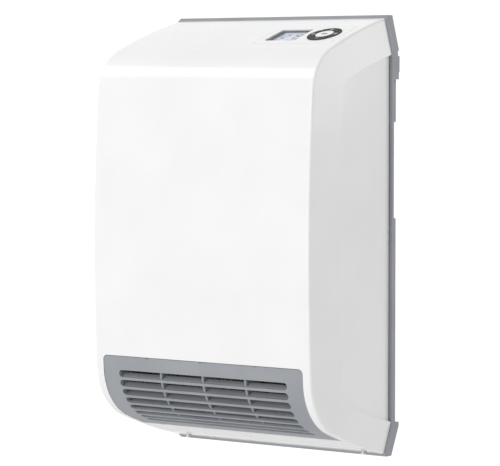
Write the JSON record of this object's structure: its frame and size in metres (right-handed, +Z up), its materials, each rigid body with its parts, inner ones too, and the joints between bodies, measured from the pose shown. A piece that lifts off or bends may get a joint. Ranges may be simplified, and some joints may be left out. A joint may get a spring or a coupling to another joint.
{
  "type": "fan convector heater",
  "caption": "Wall-mounted fan convector heater: a curved white cover with a louvred outlet at the lower front, a grey back tray and a key panel on the sloping top.",
  "frame": {"origin": "the wall plane, at the middle of the four fixing holes of the wall bracket", "axes": "+X to the viewer's right, -Y out of the wall to the front, +Z up"},
  "size_m": [0.275, 0.1394, 0.428],
  "materials": {
    "white": "smooth gloss white moulding",
    "grey": "fine satin grey moulding",
    "charcoal": "satin charcoal moulding",
    "lens": "clear flat lens",
    "display": "pale blue liquid crystal display",
    "galvanised": "zinc-coated sheet",
    "guard_wire": "dark coated steel",
    "drum": "thin rolled aluminium",
    "steel": "ground steel",
    "bronze": "sintered bronze",
    "rubber": "black moulded rubber",
    "stack": "laminated electrical steel",
    "coil": "taped copper winding",
    "screw": "bright zinc",
    "frame_plastic": "heat-resistant black moulding",
    "core": "finned aluminium",
    "board": "green solder mask",
    "component": "moulded component body",
    "natural": "natural nylon"
  },
  "bodies": {
    "heater": {"front_cover": "white", "control_panel": "white", "back_tray": "grey", "outlet_grille": "grey", "display_bezel": "charcoal", "display_window": "lens", "display_module": "display", "wall_bracket": "galvanised", "fan_end_plate_left": "galvanised", "fan_end_plate_right": "galvanised", "fan_scroll": "galvanised", "upper_air_guide": "galvanised", "heat_shield": "galvanised", "motor_strap_inner": "galvanised", "motor_strap_outer": "galvanised", "inner_guard": "guard_wire", "motor_spacers": "steel", "fan_bearing_bush": "bronze", "motor_bearing_bushes": "bronze", "bearing_rubber_mount": "rubber", "cable_grommet": "rubber", "motor_stator": "stack", "motor_coil": "coil", "board_screws": "screw", "motor_screws": "screw", "board_fixing_screws": "screw", "terminal_screws": "screw", "clamp_screws": "screw", "cover_screws": "screw", "heater_frame": "frame_plastic", "thermal_cutout": "frame_plastic", "heating_core": "core", "triac_heat_sink": "core", "display_board": "board", "power_board": "board", "tact_switches": "component", "heater_relays": "component", "filter_capacitor": "component", "power_module": "component", "board_carrier": "natural", "board_connectors": "natural", "terminal_block": "natural", "cable_clamp": "natural", "sensor_holder": "natural", "room_sensor": "natural"},
    "fan": {"fan_drum": "drum", "fan_stub_shaft": "steel", "motor_shaft": "steel", "motor_rotor": "stack"},
    "key_right": {"key_right": "charcoal"},
    "key_up": {"key_up": "charcoal"},
    "key_left": {"key_left": "charcoal"},
    "key_down": {"key_down": "charcoal"},
    "key_centre": {"key_centre": "white"}
  },
  "joints": [
    {"name": "fan_spin", "type": "hinge", "parent": "heater", "child": "fan", "pos_m": [0, -0.056, -0.224], "axis": [1, 0, 0], "continuous": true},
    {"name": "key_right_press", "type": "slide", "parent": "heater", "child": "key_right", "axis": [0, 0.3234, -0.9463], "range_m": [0, 0.0005], "stiffness_N_per_m": 3000},
    {"name": "key_up_press", "type": "slide", "parent": "heater", "child": "key_up", "axis": [0, 0.3234, -0.9463], "range_m": [0, 0.0005], "stiffness_N_per_m": 3000},
    {"name": "key_left_press", "type": "slide", "parent": "heater", "child": "key_left", "axis": [0, 0.3234, -0.9463], "range_m": [0, 0.0005], "stiffness_N_per_m": 3000},
    {"name": "key_down_press", "type": "slide", "parent": "heater", "child": "key_down", "axis": [0, 0.3234, -0.9463], "range_m": [0, 0.0005], "stiffness_N_per_m": 3000},
    {"name": "key_centre_press", "type": "slide", "parent": "heater", "child": "key_centre", "axis": [0, 0.3234, -0.9463], "range_m": [0, 0.0005], "stiffness_N_per_m": 3000}
  ]
}
